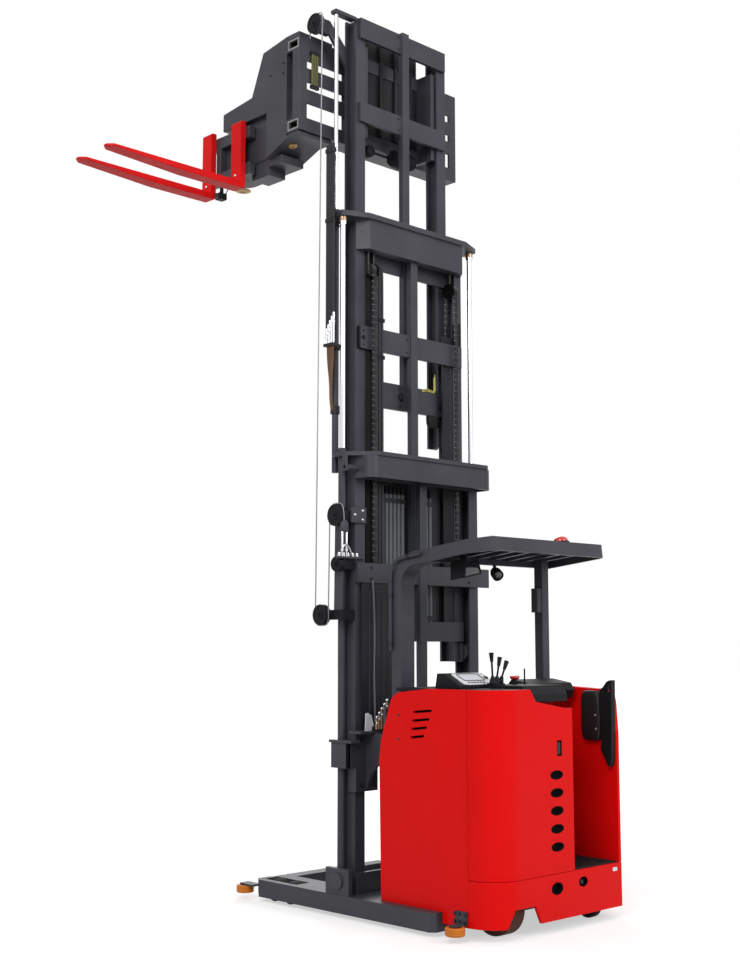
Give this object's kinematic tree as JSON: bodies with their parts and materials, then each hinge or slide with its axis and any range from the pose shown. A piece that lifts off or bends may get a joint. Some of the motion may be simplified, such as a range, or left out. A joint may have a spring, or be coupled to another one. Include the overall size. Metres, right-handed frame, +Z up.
{
  "type": "very narrow aisle forklift",
  "caption": "Stand-on very narrow aisle forklift: straddle chassis with overhead guard, telescoping triplex mast and a traversing swing head that turns its forks to either side.",
  "frame": {"origin": "on the floor, on the truck's centreline, below the rear face of the body", "axes": "+X to the truck's right, +Y forward towards the mast, +Z up"},
  "size_m": [2.556, 2.45, 5.68],
  "materials": {
    "red_paint": "gloss",
    "red_forks": "gloss",
    "charcoal_paint": "satin",
    "dark_red_lining": "satin",
    "battery_mass": "matte",
    "power_mass": "matte",
    "black_plastic": "matte",
    "black_rubber": "matte",
    "chrome_rod": "polished",
    "chain_steel": "oiled",
    "black_steel": "matte",
    "brown_tyre": "matte",
    "black_tyre": "matte",
    "orange_tyre": "satin"
  },
  "bodies": {
    "chassis": {"base_frame": "charcoal_paint", "left_side_panel": "red_paint", "rear_door": "red_paint", "rear_skirt": "red_paint", "right_wall": "red_paint", "front_bulkhead": "charcoal_paint", "top_cover": "black_plastic", "cab_lining": "dark_red_lining", "battery_block": "battery_mass", "power_unit": "power_mass", "platform_mat": "black_rubber", "console": "black_plastic", "control_levers": "black_plastic", "backrest_pad": "black_rubber", "grab_handles": "black_plastic", "guard_arm": "charcoal_paint", "guard_post": "charcoal_paint", "guard_roof": "charcoal_paint", "guard_lamps": "black_plastic", "outer_channels": "charcoal_paint", "outer_beams": "charcoal_paint", "outer_collar": "charcoal_paint", "lift_cylinders": "charcoal_paint", "mast_brace": "charcoal_paint", "roller_brackets": "charcoal_paint", "rope_pulleys": "black_plastic", "lift_chains": "chain_steel"},
    "steering": {"steer_unit": "black_steel"},
    "drive_wheel": {"drive_wheel": "brown_tyre"},
    "caster": {"caster_fork": "black_steel"},
    "caster_wheel": {"caster_wheel": "black_tyre"},
    "mast_middle": {"middle_channels": "charcoal_paint", "middle_beams": "charcoal_paint", "middle_collar": "charcoal_paint", "lift_rods": "chrome_rod", "chain_sheaves": "chain_steel", "free_lift_barrel": "charcoal_paint", "inner_chains": "chain_steel"},
    "mast_inner": {"inner_channels": "charcoal_paint", "inner_beams": "charcoal_paint", "free_lift_rod": "chrome_rod", "top_bracket": "charcoal_paint"},
    "carriage": {"carriage": "charcoal_paint", "traverse_frame": "charcoal_paint"},
    "boom": {"boom": "charcoal_paint"},
    "head": {"swing_head": "charcoal_paint", "fork_carriage": "charcoal_paint", "forks": "red_forks", "fork_camera": "black_plastic"},
    "load_wheel_left_rear": {"load_wheel_left_rear": "black_tyre"},
    "load_wheel_left_front": {"load_wheel_left_front": "black_tyre"},
    "guide_roller_left_rear": {"guide_roller_left_rear": "orange_tyre"},
    "guide_roller_left_front": {"guide_roller_left_front": "orange_tyre"},
    "load_wheel_right_rear": {"load_wheel_right_rear": "black_tyre"},
    "load_wheel_right_front": {"load_wheel_right_front": "black_tyre"},
    "guide_roller_right_rear": {"guide_roller_right_rear": "orange_tyre"},
    "guide_roller_right_front": {"guide_roller_right_front": "orange_tyre"}
  },
  "joints": [
    {"name": "steer", "type": "hinge", "parent": "chassis", "child": "steering", "pos_m": [-0.335, 0.2, 0.3], "axis": [0, 0, 1], "range_deg": [-90, 90]},
    {"name": "drive_spin", "type": "hinge", "parent": "steering", "child": "drive_wheel", "pos_m": [-0.335, 0.2, 0.15], "axis": [1, 0, 0], "continuous": true},
    {"name": "caster_swivel", "type": "hinge", "parent": "chassis", "child": "caster", "pos_m": [0.42, 0.19, 0.25], "axis": [0, 0, 1], "continuous": true},
    {"name": "caster_spin", "type": "hinge", "parent": "caster", "child": "caster_wheel", "pos_m": [0.42, 0.152, 0.08], "axis": [1, 0, 0], "continuous": true},
    {"name": "mast_lift", "type": "slide", "parent": "chassis", "child": "mast_middle", "axis": [0, 0, 1], "range_m": [-1.3, 0.25], "deforming": ["lift_chains"]},
    {"name": "mast_upper_lift", "type": "slide", "parent": "mast_middle", "child": "mast_inner", "axis": [0, 0, 1], "range_m": [-1.3, 0.25], "deforming": ["inner_chains"]},
    {"name": "carriage_lift", "type": "slide", "parent": "mast_inner", "child": "carriage", "axis": [0, 0, 1], "range_m": [-1.94, 0.1]},
    {"name": "traverse", "type": "slide", "parent": "carriage", "child": "boom", "axis": [1, 0, 0], "range_m": [0, 1.18]},
    {"name": "head_swing", "type": "hinge", "parent": "boom", "child": "head", "pos_m": [-0.59, 2.2, 4.9], "axis": [0, 0, -1], "range_deg": [0, 180]},
    {"name": "load_wheel_left_rear_spin", "type": "hinge", "parent": "chassis", "child": "load_wheel_left_rear", "pos_m": [-0.56, 1.665, 0.068], "axis": [1, 0, 0], "continuous": true},
    {"name": "load_wheel_left_front_spin", "type": "hinge", "parent": "chassis", "child": "load_wheel_left_front", "pos_m": [-0.56, 1.815, 0.068], "axis": [1, 0, 0], "continuous": true},
    {"name": "guide_roller_left_rear_spin", "type": "hinge", "parent": "chassis", "child": "guide_roller_left_rear", "pos_m": [-0.66, 0.227, 0.06], "axis": [0, 0, 1], "continuous": true},
    {"name": "guide_roller_left_front_spin", "type": "hinge", "parent": "chassis", "child": "guide_roller_left_front", "pos_m": [-0.66, 2.029, 0.06], "axis": [0, 0, 1], "continuous": true},
    {"name": "load_wheel_right_rear_spin", "type": "hinge", "parent": "chassis", "child": "load_wheel_right_rear", "pos_m": [0.56, 1.665, 0.068], "axis": [1, 0, 0], "continuous": true},
    {"name": "load_wheel_right_front_spin", "type": "hinge", "parent": "chassis", "child": "load_wheel_right_front", "pos_m": [0.56, 1.815, 0.068], "axis": [1, 0, 0], "continuous": true},
    {"name": "guide_roller_right_rear_spin", "type": "hinge", "parent": "chassis", "child": "guide_roller_right_rear", "pos_m": [0.66, 0.227, 0.06], "axis": [0, 0, 1], "continuous": true},
    {"name": "guide_roller_right_front_spin", "type": "hinge", "parent": "chassis", "child": "guide_roller_right_front", "pos_m": [0.66, 2.029, 0.06], "axis": [0, 0, 1], "continuous": true}
  ],
  "couplings": [
    {"joint": "mast_upper_lift", "follows": "mast_lift", "ratio": 1}
  ]
}
